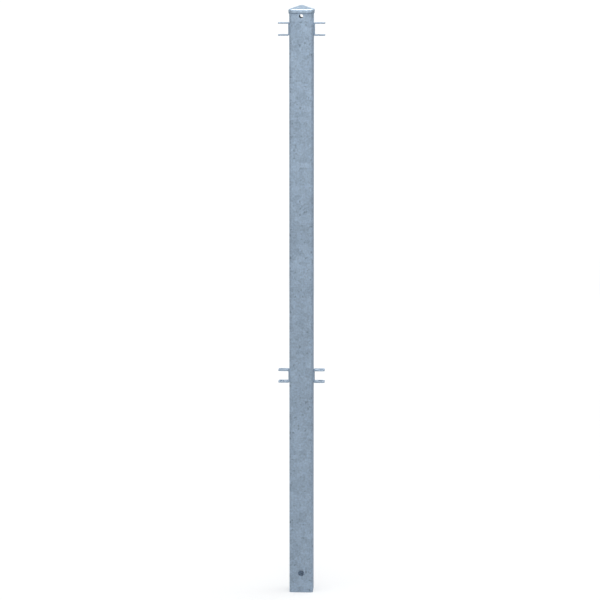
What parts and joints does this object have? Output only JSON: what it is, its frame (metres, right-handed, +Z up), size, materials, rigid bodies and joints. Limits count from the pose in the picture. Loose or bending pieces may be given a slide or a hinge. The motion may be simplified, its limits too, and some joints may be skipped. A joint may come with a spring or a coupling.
{
  "type": "railing post",
  "caption": "Galvanised square steel post with a pyramid cap, an anchor hole in its foot and welded U brackets whose lugs take bolted rails on both sides.",
  "frame": {"origin": "centre of the post's foot, on the ground end", "axes": "+Z up the post, X along the rails, -Y to the front"},
  "size_m": [0.118, 0.064, 1.5],
  "materials": {
    "galvanised_tube": "hot-dip galvanised, matt with faint spangle",
    "galvanised_sheet": "hot-dip galvanised, satin",
    "galvanised_plate": "hot-dip galvanised, satin",
    "galvanised_weld": "hot-dip galvanised weld bead, matt"
  },
  "bodies": {
    "root": {"post_tube": "galvanised_tube", "post_cap": "galvanised_sheet", "cap_weld": "galvanised_weld", "bracket_upper_left": "galvanised_plate", "bracket_upper_right": "galvanised_plate", "bracket_lower_left": "galvanised_plate", "bracket_lower_right": "galvanised_plate", "weld_upper_left_front": "galvanised_weld", "weld_upper_left_back": "galvanised_weld", "weld_upper_right_front": "galvanised_weld", "weld_upper_right_back": "galvanised_weld", "weld_lower_left_front": "galvanised_weld", "weld_lower_left_back": "galvanised_weld", "weld_lower_right_front": "galvanised_weld", "weld_lower_right_back": "galvanised_weld"}
  },
  "joints": []
}
